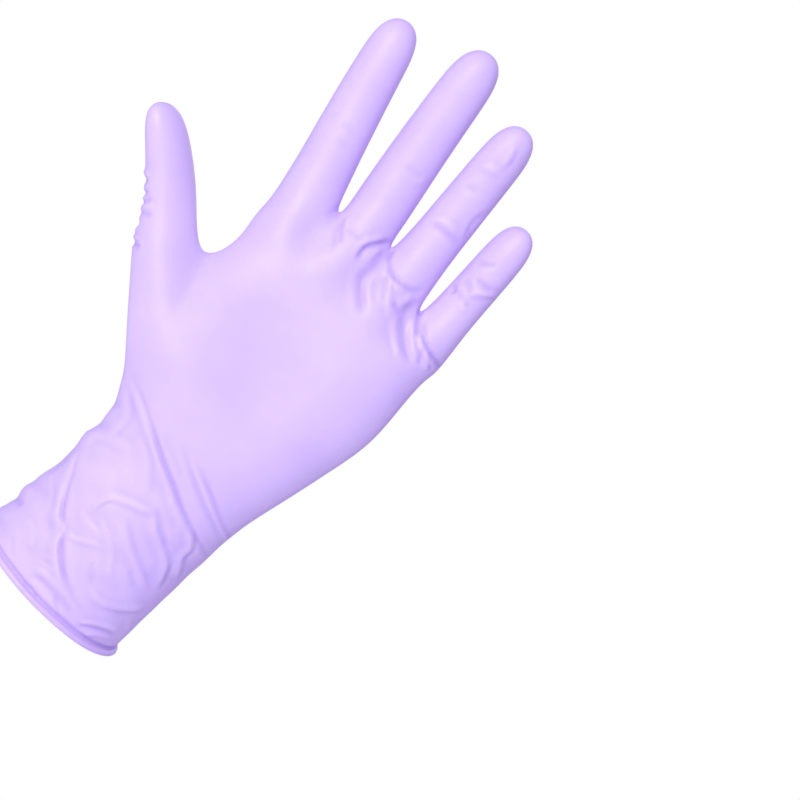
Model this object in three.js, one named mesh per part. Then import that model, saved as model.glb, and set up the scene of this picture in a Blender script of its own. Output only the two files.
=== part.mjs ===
// A nitrile exam glove in the form that it takes on a left hand, palm to the front.
// The real glove is one dipped film with a rolled bead at the cuff, so it is one hollow solid.
// Millimetres, +Z towards the fingertips, -Y the palm side, -X the thumb side.
// The origin is the centre of the cuff's mouth, where the wrist passes through.
import * as THREE from "three";

// Driving dimensions, in millimetres and degrees.
const cuffLength = 58.5; // mouth to wrist
const cuffBreadth = 62;
const cuffDepth = 50;
const cuffLean = 12; // the forearm falls back from the palm by this angle
const cuffFall = 0.85; // over this share of the cuff's length
const cuffSlant = 7.5; // and drifts to the thumb side by this one
const wristBreadth = 60;
const wristDepth = 41;
const wristDrift = 9.2; // wrist's centre from the mouth's, across
const palmLength = 108; // wrist to the deepest finger fork
const palmBreadth = 81; // across the finger roots
const palmDepth = 28;
const palmDrift = 16.5; // palm's centre line from the mouth's centre, across
const palmStep = 1.3; // the palm's middle plane stands this far in front of the wrist's
const thumbRise = 7; // the thumb stands this far in front of the palm's middle plane
const foldWidth = 3.6; // from a fold's crest to where it has sunk to a third
const foldRise = 2;
const wall = 1;
const beadRadius = 1.2;

// How square the sections are, as a superellipse's power: 2 is an ellipse.
const heelSquare = 2.1;
const palmSquare = 2.5;
const digitSquare = 2.15;

// How finely the surface is divided.
const digitColumns = 4; // columns over the front of each digit, and as many over its back
const rowStep = 5.4; // row spacing along a digit
const firstRow = 0.45; // the first row's height above the forks, in row steps
const beadSteps = 6;

// How much the surface is smoothed all over, and how much more within reach of the forks.
const easingRounds = 3;
const easing = 0.3;
const forkEasing = 0.4;
const forkReach = 9;

// The digits. Lean is in the plane of the palm, and curl is how far the tip comes forward.
const digits = {
  thumb: { length: 51.4, breadth: 21, tipBreadth: 15.8, depth: 20.5, tipDepth: 14.5, lean: -39.6, curl: 6 },
  index: { length: 71, breadth: 22.6, tipBreadth: 17.6, depth: 20.5, tipDepth: 14.5, lean: -9.9, curl: 5 },
  middle: { length: 74.9, breadth: 22.2, tipBreadth: 18.7, depth: 20.5, tipDepth: 15, lean: -3.6, curl: 8 },
  ring: { length: 66.8, breadth: 20, tipBreadth: 17.1, depth: 19, tipDepth: 14, lean: -0.3, curl: 10 },
  little: { length: 50.4, breadth: 17.2, tipBreadth: 15.3, depth: 17, tipDepth: 13, lean: 1.4, curl: 8 },
};
const fingers = [digits.index, digits.middle, digits.ring, digits.little];

// The cap that closes a digit: its length in tip breadths, and where its rows stand along it.
const capLength = 0.7;
const capRows = [0.72, 0.45, 0.22, 0.06];

// How far along a digit, as shares of its length, its base's tilt and its base's breadth last.
const tiltReach = 0.5;
const rootReach = 0.3;

const radians = THREE.MathUtils.degToRad;
const mix = THREE.MathUtils.lerp;
const wristY = -cuffFall * cuffLength * Math.tan(radians(cuffLean));
const palmY = wristY - palmStep;

// The sides of the hand, as the directions that they face.
const palmSide = new THREE.Vector3(0, -1, 0);
const backSide = new THREE.Vector3(0, 1, 0);
const thumbSide = new THREE.Vector3(-1, 0, 0);

// A place in the plane of the hand, [x, z], from shares of the palm's breadth and length.
const inPalm = (across, up) => [palmDrift + across * palmBreadth, cuffLength + up * palmLength];
// The same on the cuff, from shares of its breadth and length.
const inCuff = (across, up) => [up * wristDrift + across * cuffBreadth, up * cuffLength];

// Cuff sections from the mouth to the wrist: shares of the cuff's length, lean and depth.
const cuffTable = [
  { up: 0.03, lean: 1, slant: 1, plump: 1 },
  { up: 0.2, lean: 0.94, slant: 0.75, plump: 0.99 },
  { up: 0.5, lean: 0.78, slant: 0.5, plump: 0.985 },
  { up: 0.77, lean: 0.55, slant: 0.3, plump: 0.99 },
  { up: 1, lean: 0.33, slant: 0.3, plump: 1 },
];

// Palm sections above the wrist. Thumb and little give each edge as shares of the palm's breadth
// and length; front and back are shares of its depth; thumbForward is a share of thumbRise.
const heelTable = [
  { thumb: [-0.513, 0.177], little: [0.342, 0.158], front: 0.71, back: 0.66, thumbForward: 0.35 },
  { thumb: [-0.656, 0.338], little: [0.428, 0.306], front: 0.62, back: 0.58, thumbForward: 0.75 },
];
const thumbRoot = { thumb: [-0.832, 0.486], fork: [-0.556, 0.62], little: [0.49, 0.46] };
const thumbForkForward = 0.4; // a share of thumbRise
const thumbRootDepth = 0.62; // to the front and the back, a share of the thumb's depth
const palmRoot = { front: 0.52, back: 0.5 };
const palmTable = [
  { thumb: [-0.492, 0.7], little: [0.513, 0.607], front: 0.49, back: 0.48, thumbForward: 0.1 },
  { thumb: [-0.511, 0.81], little: [0.517, 0.72], front: 0.48, back: 0.47, thumbForward: 0 },
];

// The finger roots: the palm's thumb edge, the three forks, and its little-finger edge.
const forks = [
  [-0.512, 0.905],
  [-0.235, 0.985],
  [0.034, 0.99],
  [0.299, 0.903],
  [0.53, 0.812],
];
// How deep a finger's root is to the front and back, and how far it sags below the line between
// its forks, as shares of the finger's depth.
const fingerRoot = { depth: 0.53, sagFront: 0.2, sagBack: 0.6 };

// The fleshy mounds that fill the film: where, how wide in shares of the palm's breadth and length,
// and how far they rise, or sink, in shares of its depth.
const mounds = [
  { name: "thenar", side: palmSide, at: [-0.46, 0.4], spread: [0.27, 0.3], rise: 0.23 },
  { name: "hypothenar", side: palmSide, at: [0.3, 0.3], spread: [0.2, 0.34], rise: 0.125 },
  { name: "palm_hollow", side: palmSide, at: [-0.02, 0.55], spread: [0.24, 0.26], rise: -0.12 },
  { name: "index_pad", side: palmSide, at: [-0.37, 0.83], spread: [0.11, 0.1], rise: 0.06 },
  { name: "middle_pad", side: palmSide, at: [-0.1, 0.88], spread: [0.11, 0.1], rise: 0.06 },
  { name: "ring_pad", side: palmSide, at: [0.17, 0.85], spread: [0.1, 0.1], rise: 0.06 },
  { name: "little_pad", side: palmSide, at: [0.4, 0.74], spread: [0.1, 0.12], rise: 0.05 },
  { name: "index_knuckle", side: backSide, at: [-0.36, 0.8], spread: [0.09, 0.1], rise: 0.085 },
  { name: "middle_knuckle", side: backSide, at: [-0.1, 0.84], spread: [0.09, 0.1], rise: 0.09 },
  { name: "ring_knuckle", side: backSide, at: [0.16, 0.78], spread: [0.09, 0.1], rise: 0.08 },
  { name: "little_knuckle", side: backSide, at: [0.38, 0.68], spread: [0.08, 0.1], rise: 0.07 },
];

// Folds in the film: a crest, or a groove where rise is below zero, along a path over the cuff or
// the palm. Width and rise are shares of the named fold width and rise.
const folds = [
  {
    on: inPalm, side: palmSide, width: 1, rise: 1,
    path: [[-0.47, 0.15], [-0.26, 0.08], [0.04, -0.06], [0.2, -0.11]],
  },
  {
    on: inPalm, side: palmSide, width: 0.9, rise: -0.8,
    path: [[-0.35, 0.16], [-0.19, 0.1], [0, 0.01], [0.1, -0.03]],
  },
  {
    on: inPalm, side: palmSide, width: 0.9, rise: 0.95,
    path: [[-0.12, 0.1], [0, 0.06], [0.12, 0.01], [0.27, -0.04]],
  },
  {
    on: inPalm, side: palmSide, width: 0.9, rise: -0.85,
    path: [[-0.1, 0.045], [0.02, -0.005], [0.24, -0.085]],
  },
  { on: inPalm, side: palmSide, width: 1, rise: -0.9, path: [[0.01, 0.97], [-0.05, 0.86], [-0.03, 0.72]] },
  { on: inPalm, side: palmSide, width: 0.8, rise: 0.6, path: [[0.06, 0.96], [0.07, 0.84], [0.12, 0.72]] },
  { on: inPalm, side: palmSide, width: 0.9, rise: -1, path: [[0.27, 0.88], [0.22, 0.8], [0.28, 0.66]] },
  { on: inPalm, side: palmSide, width: 0.85, rise: 0.8, path: [[0.36, 0.86], [0.37, 0.7]] },
  {
    on: inCuff, side: palmSide, width: 1, rise: 0.9,
    path: [[-0.45, 0.76], [-0.28, 0.45], [-0.1, 0.3], [0.06, 0.12]],
  },
  { on: inCuff, side: palmSide, width: 1.1, rise: -0.8, path: [[-0.2, 0.66], [-0.1, 0.5], [0.02, 0.28]] },
  { on: inCuff, side: palmSide, width: 0.9, rise: 0.7, path: [[-0.14, 0.36], [-0.05, 0.4], [0.04, 0.43]] },
  { on: inCuff, side: palmSide, width: 1.1, rise: 0.8, path: [[-0.13, 0.58], [-0.09, 0.69], [0.07, 0.74]] },
  { on: inCuff, side: palmSide, width: 1, rise: 0.8, path: [[0.12, 0.57], [0.24, 0.48], [0.4, 0.38]] },
  {
    on: inCuff, side: palmSide, width: 1, rise: 1,
    path: [[0.16, 0.73], [0.33, 0.63], [0.42, 0.5], [0.42, 0.28]],
  },
  { on: inCuff, side: palmSide, width: 1, rise: -0.8, path: [[0.3, 0.56], [0.33, 0.42]] },
  {
    on: inCuff, side: palmSide, width: 0.9, rise: 0.8,
    path: [[0.1, 0.29], [0.2, 0.2], [0.32, 0.17], [0.41, 0.22]],
  },
  { on: inCuff, side: palmSide, width: 1.2, rise: -0.7, path: [[-0.28, 0.16], [-0.02, 0.1]] },
  { on: inCuff, side: thumbSide, width: 1.2, rise: 0.5, path: [[-0.51, 0.8], [-0.47, 0.84]] },
  { on: inCuff, side: thumbSide, width: 1.1, rise: 0.6, path: [[-0.49, 0.42], [-0.45, 0.46]] },
  { on: inCuff, side: thumbSide, width: 1, rise: 0.5, path: [[-0.49, 0.22], [-0.45, 0.24]] },
  { on: inPalm, side: backSide, width: 1.1, rise: 0.95, path: [[-0.42, 0.08], [-0.1, 0.06], [0.2, 0.02]] },
  { on: inPalm, side: backSide, width: 1, rise: -0.9, path: [[-0.3, 0], [0, -0.04], [0.26, -0.06]] },
  { on: inCuff, side: backSide, width: 1.2, rise: 1, path: [[-0.3, 0.2], [-0.24, 0.5], [-0.12, 0.8]] },
  { on: inCuff, side: backSide, width: 1.2, rise: -1, path: [[0.02, 0.12], [0.08, 0.4], [0.2, 0.7]] },
  { on: inCuff, side: backSide, width: 1.1, rise: 0.9, path: [[0.3, 0.16], [0.34, 0.42], [0.32, 0.72]] },
];

// A section: its thumb-side and little-side ends in the plane of the hand, the height of its
// middle line at each end, how deep it is to the front and back, how square it is, how far it
// leans, and how far its front and back sag below its ends.
function section(left, right, options) {
  const plain = { yLeft: palmY, yRight: palmY, square: 2, lean: 0, sagFront: 0, sagBack: 0 };
  return { left, right, ...plain, ...options };
}

// The point of a section at a share of the way across, on the front (-1) or the back (+1).
function pointOn(s, share, side) {
  const reach = Math.abs(2 * share - 1);
  const height = (1 - reach ** s.square) ** (1 / s.square);
  const depth = height * (side < 0 ? s.front : s.back);
  const sag = height * (side < 0 ? s.sagFront : s.sagBack);
  const lean = radians(s.lean);
  return new THREE.Vector3(
    mix(s.left[0], s.right[0], share),
    mix(s.yLeft, s.yRight, share) + side * depth * Math.cos(lean),
    mix(s.left[1], s.right[1], share) + side * depth * Math.sin(lean) - sag,
  );
}

// Shares across a section for its columns: by equal angles, or partly by equal steps, which
// keeps a wide flat section's columns apart in its middle.
function columnShares(columns, evenness) {
  const shares = [];
  for (let i = 1; i <= columns + 1; i++) {
    const turn = i / (columns + 2);
    shares.push(mix((1 - Math.cos(Math.PI * turn)) / 2, turn, evenness));
  }
  return shares;
}

// The loop of a section: thumb-side end, front to the right, little-side end, and the rear run.
function loopOf(s, columns, evenness = 0) {
  const shares = columnShares(columns, evenness);
  const front = shares.map((share) => pointOn(s, share, -1));
  const back = shares.map((share) => pointOn(s, share, 1)).reverse();
  return [pointOn(s, 0, -1), ...front, pointOn(s, 1, -1), ...back];
}

const frontOf = (loop) => loop.slice(1, loop.length / 2);
const backOf = (loop) => loop.slice(loop.length / 2 + 1);
const rightOf = (loop) => loop[loop.length / 2];

// Loops that stand side by side become one, with their neighbouring columns shared.
function joinLoops(loops) {
  const join = (runs) =>
    runs.reduce((joined, run) => {
      const seam = joined.at(-1).clone().lerp(run[0], 0.5);
      return [...joined.slice(0, -1), seam, ...run.slice(1)];
    });
  const front = join(loops.map(frontOf));
  const back = join(loops.map((loop) => backOf(loop).reverse())).reverse();
  return [loops[0][0], ...front, rightOf(loops.at(-1)), ...back];
}

// A smooth curve through the same point of each loop gives the rows between them.
function rowsThrough(loops, counts, before, after) {
  const first = before ?? loops[0].map((p, i) => p.clone().multiplyScalar(2).sub(loops[1][i]));
  const last = after ?? loops.at(-1);
  const all = [first, ...loops, last];
  const rows = [loops[0]];
  counts.forEach((count, k) => {
    for (let n = 1; n <= count; n++) {
      rows.push(loops[0].map((_, i) => between(all.slice(k, k + 4).map((loop) => loop[i]), n / count)));
    }
  });
  return rows;
}

// Catmull and Rom's curve between the middle two of four points.
function between([a, b, c, d], t) {
  const along = (p, q, r, s) =>
    0.5 * (2 * q + (r - p) * t + (2 * p - 5 * q + 4 * r - s) * t * t + (3 * q - p - 3 * r + s) * t ** 3);
  return new THREE.Vector3(along(a.x, b.x, c.x, d.x), along(a.y, b.y, c.y, d.y), along(a.z, b.z, c.z, d.z));
}

// A digit's section at a distance along it from its base. The base's ends are the forks beside it,
// and its own breadth and the tilt between the forks fade out along the digit.
function digitSection(digit, base, distance) {
  const root = middleOf(base);
  const along = distance / digit.length;
  const cap = capLength * digit.tipBreadth;
  const left = Math.max(0, digit.length - distance);
  const close = left < cap ? Math.sqrt(1 - (1 - left / cap) ** 2) : 1;
  const deep = (close * mix(digit.depth, digit.tipDepth, along)) / 2;
  const lean = radians(digit.lean);
  const axis = new THREE.Vector2(Math.sin(lean), Math.cos(lean));
  const span = new THREE.Vector2(base.right[0] - base.left[0], base.right[1] - base.left[1]);
  const tilt = (span.dot(axis) / 2) * Math.max(0, 1 - along / tiltReach) ** 2;
  const rootly = Math.max(0, 1 - along / rootReach) ** 2;
  const breadth = mix(mix(digit.breadth, digit.tipBreadth, along ** 1.4), span.length(), rootly);
  const half = (close * breadth) / 2;
  const middle = new THREE.Vector2(root.x, root.z).addScaledVector(axis, distance);
  const across = new THREE.Vector2(axis.y, -axis.x).multiplyScalar(half).addScaledVector(axis, tilt);
  const y = root.y - digit.curl * along ** 1.6;
  const ends = { yLeft: y, yRight: y, front: deep, back: deep, square: digitSquare };
  return section(middle.clone().sub(across).toArray(), middle.add(across).toArray(), ends);
}

function middleOf(s) {
  const half = (a, b) => (a + b) / 2;
  return new THREE.Vector3(half(s.left[0], s.right[0]), half(s.yLeft, s.yRight), half(s.left[1], s.right[1]));
}

// The loops of a digit above its base, and the point that closes it.
function digitLoops(digit, base) {
  const cap = capLength * digit.tipBreadth;
  const free = digit.length - cap;
  const count = Math.max(2, Math.round(free / rowStep));
  const places = Array.from({ length: count }, (_, i) => (free * (i + 1)) / count);
  places.unshift(firstRow * places[0]);
  places.push(...capRows.map((share) => digit.length - share * cap));
  const loops = places.map((place) => loopOf(digitSection(digit, base, place), digitColumns));
  return { loops, tip: middleOf(digitSection(digit, base, digit.length)) };
}

// Sections of the trunk, from the cuff's mouth to the root of the thumb.
function cuffSection(row) {
  const [x, z] = inCuff(0, row.up);
  const half = (row.plump * mix(cuffBreadth, wristBreadth, row.up)) / 2;
  const deep = (row.plump * mix(cuffDepth, wristDepth, row.up)) / 2;
  const slant = radians(cuffSlant * row.slant);
  const fall = [half * Math.cos(slant), half * Math.sin(slant)];
  const y = wristY * (1 - (1 - row.up) ** 1.15);
  const ends = { yLeft: y, yRight: y, front: deep, back: deep, lean: cuffLean * row.lean };
  return section([x - fall[0], z + fall[1]], [x + fall[0], z - fall[1]], ends);
}

function palmSection(row, square) {
  const yLeft = palmY - thumbRise * row.thumbForward;
  const ends = { yLeft, front: palmDepth * row.front, back: palmDepth * row.back, square };
  return section(inPalm(...row.thumb), inPalm(...row.little), ends);
}

const trunkColumns = 5 * digitColumns;
const palmColumns = 4 * digitColumns;
const palmEvenness = 0.6;

const thumbY = palmY - thumbRise;
const thumbFork = inPalm(...thumbRoot.fork);
const thumbForkY = palmY - thumbForkForward * thumbRise;
const thumbBase = section(inPalm(...thumbRoot.thumb), thumbFork, {
  yLeft: thumbY,
  yRight: thumbForkY,
  front: thumbRootDepth * digits.thumb.depth,
  back: thumbRootDepth * digits.thumb.depth,
});
const palmStart = section(thumbFork, inPalm(...thumbRoot.little), {
  yLeft: thumbForkY,
  front: palmRoot.front * palmDepth,
  back: palmRoot.back * palmDepth,
  square: palmSquare,
});
const fingerBases = fingers.map((finger, i) =>
  section(inPalm(...forks[i]), inPalm(...forks[i + 1]), {
    front: fingerRoot.depth * finger.depth,
    back: fingerRoot.depth * finger.depth,
    sagFront: fingerRoot.sagFront * finger.depth,
    sagBack: fingerRoot.sagBack * finger.depth,
  }),
);

const thumb = digitLoops(digits.thumb, thumbBase);
const fingerParts = fingers.map((finger, i) => digitLoops(finger, fingerBases[i]));

const thumbBaseLoop = loopOf(thumbBase, digitColumns);
const palmStartLoop = loopOf(palmStart, palmColumns, palmEvenness);
const fingerBaseLoops = fingerBases.map((base) => loopOf(base, digitColumns));
const trunkEnd = joinLoops([thumbBaseLoop, palmStartLoop]);
const palmEnd = joinLoops(fingerBaseLoops);
const palmSections = palmTable.map((row) => palmSection(row, palmSquare));
const palmLoops = palmSections.map((palm) => loopOf(palm, palmColumns, palmEvenness));

const cuffLoops = cuffTable.map((row) => loopOf(cuffSection(row), trunkColumns));
const heelLoops = heelTable.map((row) => loopOf(palmSection(row, heelSquare), trunkColumns));
const trunkKeys = [...cuffLoops, ...heelLoops, trunkEnd];
const trunkCounts = [4, 5, 5, 4, 5, 4, 5];
const aboveTrunk = joinLoops([thumb.loops[0], palmLoops[0]]);
const trunkRows = rowsThrough(trunkKeys, trunkCounts, undefined, aboveTrunk);

// The outer surface as points and triangles. A row is a list of indices into points.
const points = [];
const triangles = [];

function addPoint(point) {
  points.push(point.clone());
  return points.length - 1;
}

function skin(lower, upper) {
  lower.forEach((a, i) => {
    const next = (i + 1) % lower.length;
    triangles.push([a, lower[next], upper[next]], [a, upper[next], upper[i]]);
  });
}

function skinRows(firstRow, loops) {
  return loops.reduce((row, loop) => {
    const next = loop.map(addPoint);
    skin(row, next);
    return next;
  }, firstRow);
}

function closeDigit(firstRow, digit) {
  const last = skinRows(firstRow, digit.loops);
  const tip = addPoint(digit.tip);
  last.forEach((a, i) => triangles.push([a, last[(i + 1) % last.length], tip]));
}

// The slice of a row between two of its front columns, closed at each side by a point.
function sliceRow(row, from, to, leftPoint, rightPoint) {
  const front = frontOf(row);
  const back = backOf(row).reverse();
  return [leftPoint, ...front.slice(from, to + 1), rightPoint, ...back.slice(from, to + 1).reverse()];
}

const mouthRow = trunkRows[0].map(addPoint);
const topRow = skinRows(mouthRow, trunkRows.slice(1));
const thumbForkPoint = addPoint(rightOf(thumbBaseLoop));
closeDigit(sliceRow(topRow, 0, digitColumns, topRow[0], thumbForkPoint), thumb);

const palmFirst = sliceRow(topRow, digitColumns, trunkColumns, thumbForkPoint, rightOf(topRow));
const palmKeys = [palmFirst.map((i) => points[i]), ...palmLoops, palmEnd];
const heelRow = trunkRows.at(-2);
const belowPalm = sliceRow(heelRow, digitColumns, trunkColumns, heelRow[digitColumns], rightOf(heelRow));
const abovePalm = joinLoops(fingerParts.map((part) => part.loops[0]));
const palmRows = rowsThrough(palmKeys, [3, 3, 3], belowPalm, abovePalm);
const fingerRow = skinRows(palmFirst, palmRows.slice(1));
const fingerForks = fingerBaseLoops.slice(0, -1).map((loop) => addPoint(rightOf(loop)));
const rootEnds = [fingerRow[0], ...fingerForks, rightOf(fingerRow)];
fingerParts.forEach((part, i) => {
  const from = i * digitColumns;
  closeDigit(sliceRow(fingerRow, from, from + digitColumns, rootEnds[i], rootEnds[i + 1]), part);
});
const forkPoints = [thumbForkPoint, ...fingerForks];

// Easing: each point moves part of the way to the middle of its neighbours, which rounds the
// forks as stretched film does, so points near a fork move more. The mouth stays where it is.
function ease(rounds) {
  const neighbours = points.map(() => new Set());
  triangles.forEach(([a, b, c]) => [[a, b], [b, c], [c, a]].forEach(([p, q]) => {
    neighbours[p].add(q);
    neighbours[q].add(p);
  }));
  const fixed = new Set(mouthRow);
  for (let round = 0; round < rounds; round++) {
    const moved = points.map((point, i) => {
      if (fixed.has(i)) return point;
      const near = Math.min(...forkPoints.map((fork) => points[fork].distanceTo(point)));
      const share = easing + forkEasing * Math.exp(-((near / forkReach) ** 2));
      const middle = new THREE.Vector3();
      neighbours[i].forEach((n) => middle.addScaledVector(points[n], 1 / neighbours[i].size));
      return point.clone().lerp(middle, share);
    });
    moved.forEach((point, i) => points[i].copy(point));
  }
}

function normalsOf() {
  const normals = points.map(() => new THREE.Vector3());
  triangles.forEach(([a, b, c]) => {
    const across = points[b].clone().sub(points[a]);
    const face = across.cross(points[c].clone().sub(points[a]));
    [a, b, c].forEach((i) => normals[i].add(face));
  });
  return normals.map((normal) => normal.normalize());
}

// How much a point faces a side, from 0 at the edge of the hand to 1.
const facing = (normal, side) => THREE.MathUtils.smoothstep(normal.dot(side), 0, 0.6);

function moundHeight(mound, point) {
  const [x, z] = inPalm(...mound.at);
  const across = (point.x - x) / (mound.spread[0] * palmBreadth);
  const along = (point.z - z) / (mound.spread[1] * palmLength);
  return mound.rise * palmDepth * Math.exp(-across * across - along * along);
}

// How far a place is from the nearest point of a path.
function distanceTo(path, place) {
  const distances = path.slice(1).map((end, i) => {
    const line = end.clone().sub(path[i]);
    const from = place.clone().sub(path[i]);
    const along = THREE.MathUtils.clamp(from.dot(line) / line.lengthSq(), 0, 1);
    return from.distanceTo(line.multiplyScalar(along));
  });
  return Math.min(...distances);
}

function foldHeight(fold, point) {
  const path = fold.path.map((share) => new THREE.Vector2(...fold.on(...share)));
  const away = distanceTo(path, new THREE.Vector2(point.x, point.z));
  return fold.rise * foldRise * Math.exp(-((away / (fold.width * foldWidth)) ** 2));
}

function raise(shapes, heightOf) {
  const normals = normalsOf();
  points.forEach((point, i) => {
    const heights = shapes.map((shape) => facing(normals[i], shape.side) * heightOf(shape, point));
    point.addScaledVector(normals[i], heights.reduce((sum, height) => sum + height, 0));
  });
}

ease(easingRounds);
raise(mounds, moundHeight);
raise(folds, foldHeight);

// The inner surface lies one wall inside the outer one, and the bead is rolled round the mouth.
const normals = normalsOf();
const outerCount = points.length;
points.slice().forEach((point, i) => addPoint(point.clone().addScaledVector(normals[i], -wall)));
triangles.slice().forEach((corners) => {
  const [a, b, c] = corners.map((i) => i + outerCount);
  triangles.push([a, c, b]);
});

function beadRows() {
  const axis = new THREE.Vector3(0, Math.sin(radians(cuffLean)), -Math.cos(radians(cuffLean)));
  const start = Math.acos((wall - beadRadius) / beadRadius);
  return Array.from({ length: beadSteps }, (_, k) => {
    const turn = mix(start, -Math.PI, (k + 1) / beadSteps);
    return mouthRow.map((i) => {
      const outward = points[i].clone().sub(points[i + outerCount]).normalize();
      const place = points[i + outerCount].clone();
      place.addScaledVector(outward, beadRadius * (1 + Math.cos(turn)));
      return addPoint(place.addScaledVector(axis, beadRadius * (Math.sin(start) - Math.sin(turn))));
    });
  });
}

const rim = [mouthRow, ...beadRows(), mouthRow.map((i) => i + outerCount)];
rim.slice(1).forEach((row, k) => skin(row, rim[k]));

const geometry = new THREE.BufferGeometry();
geometry.setAttribute("position", new THREE.Float32BufferAttribute(points.flatMap((p) => p.toArray()), 3));
geometry.setIndex(triangles.flat());
geometry.computeVertexNormals();

const film = new THREE.MeshStandardMaterial({ color: 0xe2cdfb, roughness: 0.42, metalness: 0 });
const glove = new THREE.Mesh(geometry, film);
glove.name = "glove";

const part = new THREE.Group();
part.add(glove);
export default part;
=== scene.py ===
# A nitrile exam glove, a left one in its worn form, with the palm to the front.
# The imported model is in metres, +Z towards the fingertips, -Y the palm side, -X the thumb side.
# Its origin is the centre of the cuff's mouth. The sizes below are in millimetres.
import math

import bpy
import numpy as np
from mathutils import Matrix, Vector


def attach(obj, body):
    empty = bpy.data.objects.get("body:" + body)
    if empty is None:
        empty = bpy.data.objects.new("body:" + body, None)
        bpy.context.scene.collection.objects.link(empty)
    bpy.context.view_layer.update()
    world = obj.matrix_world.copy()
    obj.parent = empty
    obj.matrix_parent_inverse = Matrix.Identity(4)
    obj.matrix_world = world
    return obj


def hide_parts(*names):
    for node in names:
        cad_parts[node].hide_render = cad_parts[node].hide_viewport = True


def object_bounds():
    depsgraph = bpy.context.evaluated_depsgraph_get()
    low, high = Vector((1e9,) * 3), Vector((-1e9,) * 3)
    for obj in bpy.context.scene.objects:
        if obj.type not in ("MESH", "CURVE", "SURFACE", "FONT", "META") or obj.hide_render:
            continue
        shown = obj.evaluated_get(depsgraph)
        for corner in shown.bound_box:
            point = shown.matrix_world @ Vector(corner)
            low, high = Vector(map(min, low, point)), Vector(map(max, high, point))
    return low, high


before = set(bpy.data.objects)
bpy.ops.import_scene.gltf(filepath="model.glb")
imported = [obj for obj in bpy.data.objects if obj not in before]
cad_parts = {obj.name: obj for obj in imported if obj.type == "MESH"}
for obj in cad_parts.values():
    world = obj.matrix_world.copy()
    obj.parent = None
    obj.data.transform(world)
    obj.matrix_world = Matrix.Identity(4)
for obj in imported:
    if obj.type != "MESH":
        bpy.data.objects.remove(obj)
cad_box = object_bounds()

MILLIMETRE = 0.001

# The film.
# An exam glove is one nitrile film, dipped on a porcelain former. Worn, it is drawn smooth over
# the palm and the fingers and lies in folds round the wrist and between the fingers. It is worked
# out as tubes: the cuff and the heel part into the thumb and the palm, and the palm into fingers.
inner_depth = 1.4  # from the unfolded outer face to the inner one
cuff = dict(length=58.5, breadth=63.2, depth=50, lean=12, fall=0.85, slant=7.5)
wrist = dict(breadth=60.4, depth=41, drift=9.3)
palm = dict(length=108, breadth=81, depth=28, drift=16.5, step=1.3, square=2.5)
heel_square = 2.1
thumb_rise = 7
wrist_y = -cuff["fall"] * cuff["length"] * math.tan(math.radians(cuff["lean"]))
palm_y = wrist_y - palm["step"]

# Lean is in the plane of the palm, curl is how far the tip comes forward, and bow is how far the
# middle stands to the little finger's side of a straight line from root to tip. Turn is how far the
# digit's thumb side comes forward and its other side goes back, and square how boxy its section is.
digits = dict(
    thumb=dict(
        length=54.2, breadth=20.8, tip_breadth=13.4, depth=20.5, tip_depth=14.2,
        lean=-39.7, curl=6, bow=2.5, turn=2.6, square=1.9,
    ),
    index=dict(
        length=74.3, breadth=21.4, tip_breadth=16.5, depth=20.5, tip_depth=14.5,
        lean=-10, curl=5, bow=-0.7, turn=0, square=2.15,
    ),
    middle=dict(
        length=78.4, breadth=21.1, tip_breadth=17.6, depth=20.5, tip_depth=15,
        lean=-3.7, curl=8, bow=-0.7, turn=0, square=2.15,
    ),
    ring=dict(
        length=70.2, breadth=18.9, tip_breadth=16.2, depth=19, tip_depth=14,
        lean=0.45, curl=10, bow=-0.2, turn=0, square=2.15,
    ),
    little=dict(
        length=53, breadth=16.5, tip_breadth=14.9, depth=17, tip_depth=13,
        lean=2.6, curl=8, bow=0.2, turn=-1, square=2.15,
    ),
)
fingers = [digits["index"], digits["middle"], digits["ring"], digits["little"]]
cap_length = 0.68  # in tip breadths
cap_square = 2.4
tilt_reach = 0.5  # how far up a digit its root's tilt, breadth and rounding last, as shares
root_reach = 0.3
fork_reach = 0.2
taper_bend = 1.4  # above 1, a digit keeps its breadth longer, curls later, and the cuff falls sooner
curl_bend = 1.6
fall_bend = 1.15

# A column of faces is half to two thirds of a millimetre wide. A web between two digits is as many
# columns deep as web says, and the other counts of columns are in webs, without the two at its ends.
web = 8
digit_columns = 4
palm_columns = 16
trunk_columns = 20
row_step = 1
cap_rows = 14


def in_palm(across, up):
    """A place in the plane of the palm, (x, z), from shares of its breadth and length."""
    return np.array([palm["drift"] + across * palm["breadth"], cuff["length"] + up * palm["length"]])


def half_run(breadth, depth, square, steps):
    """Half a superellipse from end to end, in steps of equal length.

    Its points are where |across|^square + height^square = 1. Returns the share of the way
    across, from 0 to 1, and the height, which is 0 at both ends.
    """
    turn = np.linspace(0, math.pi, 361)
    across = -np.sign(np.cos(turn)) * np.abs(np.cos(turn)) ** (2 / square)
    height = np.abs(np.sin(turn)) ** (2 / square)
    steps_long = np.hypot(np.diff(across) * breadth / 2, np.diff(height) * depth)
    length = np.concatenate(([0], np.cumsum(steps_long)))
    even = np.linspace(0, length[-1], steps + 1)
    return (1 + np.interp(even, length, across)) / 2, np.interp(even, length, height)


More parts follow.
